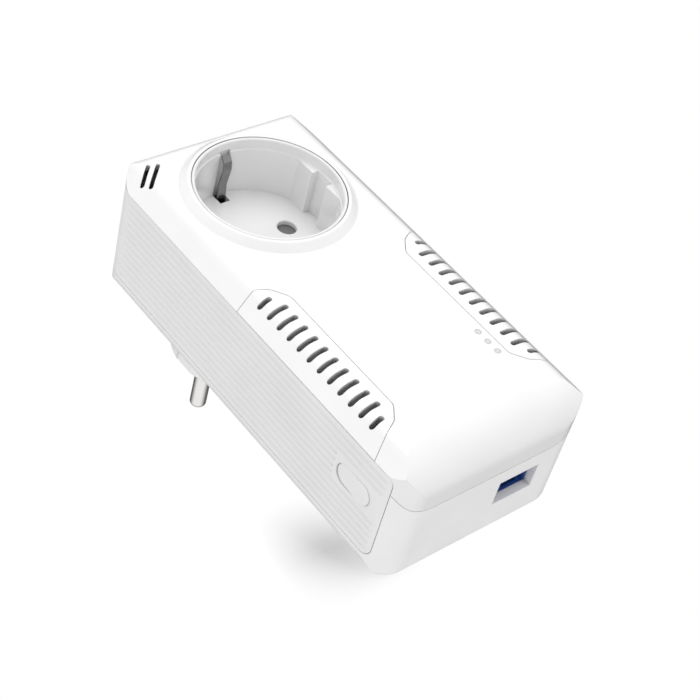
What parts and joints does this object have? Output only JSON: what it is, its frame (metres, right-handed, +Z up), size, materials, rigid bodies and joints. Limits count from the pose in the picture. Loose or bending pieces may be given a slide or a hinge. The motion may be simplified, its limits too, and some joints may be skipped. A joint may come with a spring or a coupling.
{
  "type": "powerline adapter",
  "caption": "Upright plug-in powerline network adapter with a pass-through mains socket, ribbed sides, vent grilles, status lamps, a pairing button and a network jack.",
  "frame": {"origin": "on the plug axis, which is also the socket axis, at the flat rear face of the housing", "axes": "+Z up (socket end up, network jack end down), the socket faces -Y, the plug pins point +Y, +X to the right seen from the front"},
  "size_m": [0.0625, 0.078, 0.123],
  "materials": {
    "white_gloss": "glossy white ABS",
    "white_satin": "satin white ABS",
    "white_ribbed": "matte ribbed white ABS",
    "recess_white": "glossy white polyamide",
    "shutter_grey": "matte dark grey polyamide",
    "spring_steel": "spring steel",
    "nickel": "nickel-plated brass",
    "brass": "stamped brass",
    "screw_steel": "zinc-plated steel",
    "board_green": "solder-masked laminate",
    "jack_blue": "dark blue moulded polyester",
    "gold": "gold-plated contact wire",
    "shield_steel": "tin-plated steel sheet",
    "lamp": "water-clear lamp",
    "light_guide": "clear acrylic",
    "button_white": "satin white ABS",
    "black_plastic": "moulded black package",
    "heat_sink": "extruded aluminium",
    "ferrite": "ferrite",
    "winding": "taped winding",
    "can_sleeve": "sleeved aluminium can",
    "film_yellow": "boxed film",
    "fuse_ceramic": "ceramic tube with nickel caps",
    "varistor_blue": "epoxy-coated disc",
    "copper": "enamelled copper",
    "sheet": "insulating film",
    "wire_brown": "brown lead",
    "wire_blue": "blue lead",
    "label": "blank silver-grey label"
  },
  "bodies": {
    "housing": {"front_cover": "white_gloss", "rear_cover": "white_satin", "left_side_panel": "white_ribbed", "right_side_panel": "white_ribbed", "right_vent_grille": "white_gloss", "left_vent_grille": "white_gloss", "socket_cup": "recess_white", "socket_screws": "screw_steel", "shutter_spring": "spring_steel", "earth_clips": "spring_steel", "line_contact": "brass", "neutral_contact": "brass", "line_pin": "nickel", "neutral_pin": "nickel", "plug_boss": "white_satin", "plug_earth_strip": "nickel", "earth_sleeve": "brass", "earth_post": "brass", "cover_screws": "screw_steel", "main_board": "board_green", "board_screws": "screw_steel", "power_board": "board_green", "rj45_housing": "jack_blue", "rj45_contacts": "gold", "rj45_shield": "shield_steel", "status_leds": "lamp", "light_guide": "light_guide", "switch_body": "black_plastic", "main_chip": "black_plastic", "heat_sink": "heat_sink", "coupling_transformer": "ferrite", "network_transformer": "black_plastic", "transformer_core": "ferrite", "transformer_winding": "winding", "bulk_capacitors": "can_sleeve", "film_capacitor": "film_yellow", "fuse": "fuse_ceramic", "varistor": "varistor_blue", "line_choke": "copper", "board_header": "black_plastic", "insulation_sheet": "sheet", "line_wire": "wire_brown", "neutral_wire": "wire_blue", "rating_label": "label"},
    "button": {"pair_button": "button_white"},
    "plunger": {"switch_plunger": "black_plastic"},
    "shutter": {"socket_shutter": "shutter_grey"}
  },
  "joints": [
    {"name": "button_press", "type": "slide", "parent": "housing", "child": "button", "axis": [1, 0, 0], "range_m": [0, 0.0006], "stiffness_N_per_m": 100},
    {"name": "plunger_press", "type": "slide", "parent": "housing", "child": "plunger", "axis": [1, 0, 0], "range_m": [0, 0.0006]},
    {"name": "shutter_turn", "type": "hinge", "parent": "housing", "child": "shutter", "pos_m": [0, -0.0205, 0], "axis": [0, 1, 0], "range_deg": [0, 40], "stiffness_Nm_per_rad": 0.0005, "deforming": ["shutter_spring"]}
  ],
  "couplings": [
    {"joint": "plunger_press", "follows": "button_press", "ratio": 1}
  ]
}
